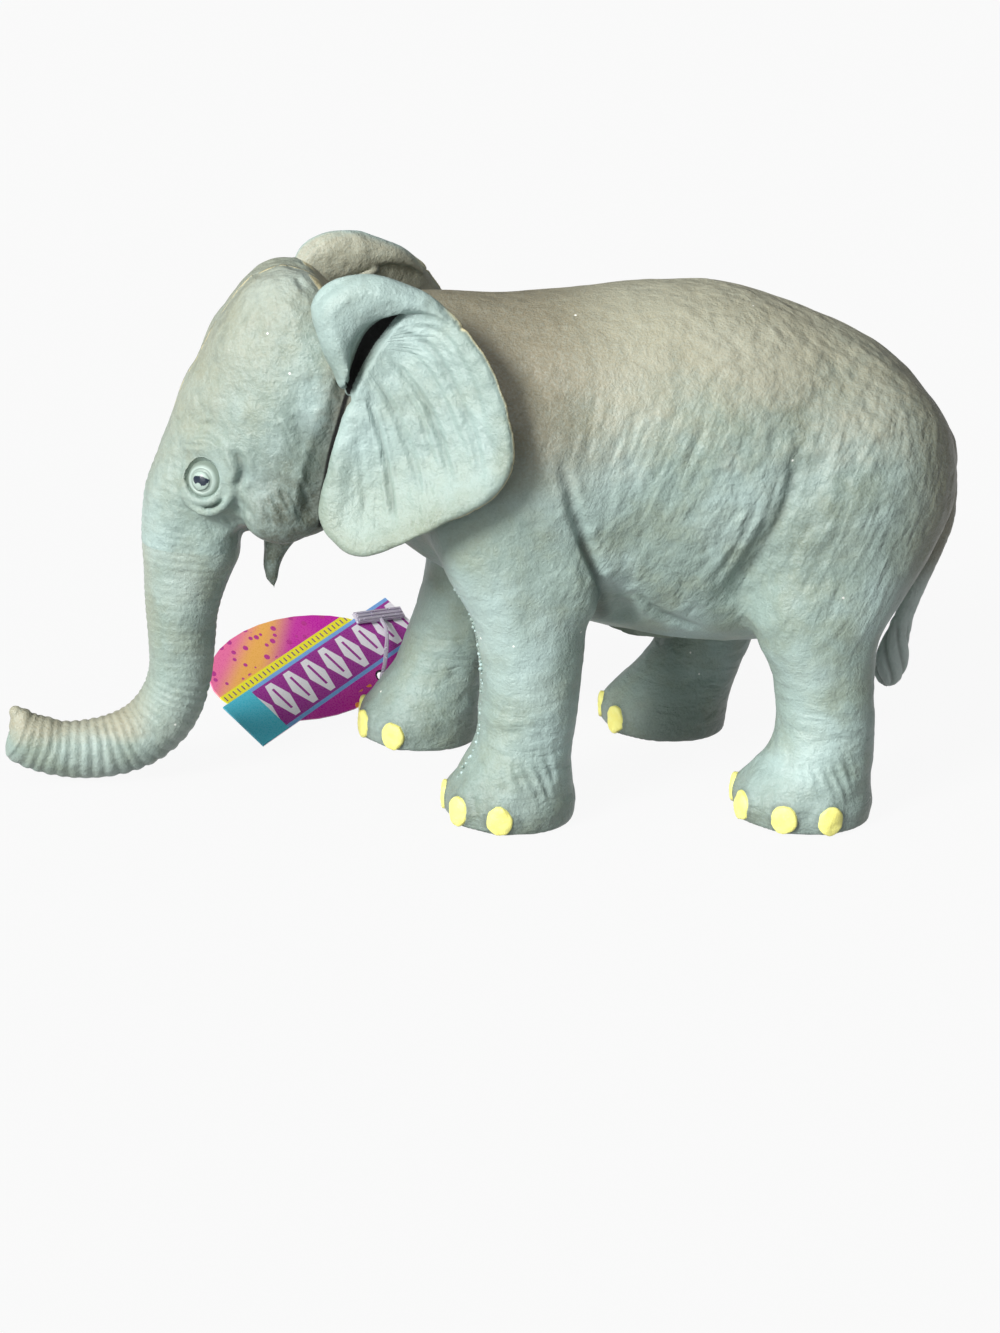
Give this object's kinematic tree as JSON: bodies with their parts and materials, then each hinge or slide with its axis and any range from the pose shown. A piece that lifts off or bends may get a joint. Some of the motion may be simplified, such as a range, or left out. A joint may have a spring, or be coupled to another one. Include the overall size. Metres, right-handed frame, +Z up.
{
  "type": "squishy elephant toy",
  "caption": "Soft rubber elephant figure on four feet, with flapping ears, a trunk that bends and curls, a tail that lifts and a hang tag.",
  "frame": {"origin": "centre of the overall box at the feet's underside", "axes": "+X from the trunk's tip towards the tail, +Z up; the toy's left side faces -Y"},
  "size_m": [0.2, 0.1036, 0.1121],
  "materials": {
    "skin": "soft satin moulded rubber, wrinkled, with a tan wash over the back",
    "filling": "soft fibre filling",
    "nail_paint": "pale yellow paint on rubber",
    "eye_paint": "pale grey moulded eye with a dark navy painted pupil",
    "card": "printed gloss card in magenta, blue and yellow",
    "clear_plastic": "clear moulded nylon"
  },
  "bodies": {
    "toy_body": {"body_skin": "skin", "body_filling": "filling", "belly_plug": "skin", "head": "skin", "left_eye": "eye_paint", "right_eye": "eye_paint", "lower_jaw": "skin", "trunk_base": "skin", "left_front_leg": "skin", "right_front_leg": "skin", "left_hind_leg": "skin", "right_hind_leg": "skin", "left_front_toenail_1": "nail_paint", "left_front_toenail_2": "nail_paint", "left_front_toenail_3": "nail_paint", "left_front_toenail_4": "nail_paint", "right_front_toenail_1": "nail_paint", "right_front_toenail_2": "nail_paint", "right_front_toenail_3": "nail_paint", "right_front_toenail_4": "nail_paint", "left_hind_toenail_1": "nail_paint", "left_hind_toenail_2": "nail_paint", "left_hind_toenail_3": "nail_paint", "left_hind_toenail_4": "nail_paint", "right_hind_toenail_1": "nail_paint", "right_hind_toenail_2": "nail_paint", "right_hind_toenail_3": "nail_paint", "right_hind_toenail_4": "nail_paint", "tag_pin": "clear_plastic"},
    "trunk_lower": {"trunk_middle": "skin"},
    "trunk_end": {"trunk_tip": "skin"},
    "left_ear_flap": {"left_ear": "skin"},
    "right_ear_flap": {"right_ear": "skin"},
    "tail_part": {"tail": "skin", "tail_tuft": "skin"},
    "hang_tag": {"tag_card": "card"}
  },
  "joints": [
    {"name": "left_ear_flap", "type": "hinge", "parent": "toy_body", "child": "left_ear_flap", "pos_m": [-0.03415, -0.03243, 0.069], "axis": [0.0307, -0.0307, -0.9991], "range_deg": [-5, 26], "stiffness_Nm_per_rad": 0.05},
    {"name": "right_ear_flap", "type": "hinge", "parent": "toy_body", "child": "right_ear_flap", "pos_m": [-0.03415, 0.00957, 0.069], "axis": [-0.0307, -0.0307, 0.9991], "range_deg": [-5, 26], "stiffness_Nm_per_rad": 0.05},
    {"name": "trunk_bend", "type": "hinge", "parent": "toy_body", "child": "trunk_lower", "pos_m": [-0.06345, -0.01143, 0.041], "axis": [0, 1, 0], "range_deg": [0, 30], "stiffness_Nm_per_rad": 0.15},
    {"name": "trunk_curl", "type": "hinge", "parent": "trunk_lower", "child": "trunk_end", "pos_m": [-0.07275, -0.01143, 0.0094], "axis": [0, 1, 0], "range_deg": [0, 35], "stiffness_Nm_per_rad": 0.08},
    {"name": "tail_lift", "type": "hinge", "parent": "toy_body", "child": "tail_part", "pos_m": [0.09645, -0.01143, 0.062], "axis": [0, -1, 0], "range_deg": [0, 35], "stiffness_Nm_per_rad": 0.02},
    {"name": "tag_swing", "type": "hinge", "parent": "toy_body", "child": "hang_tag", "pos_m": [-0.01595, 0.03007, 0.0061], "axis": [-0.3085, 0.475, -0.8241], "range_deg": [0, 20]}
  ]
}
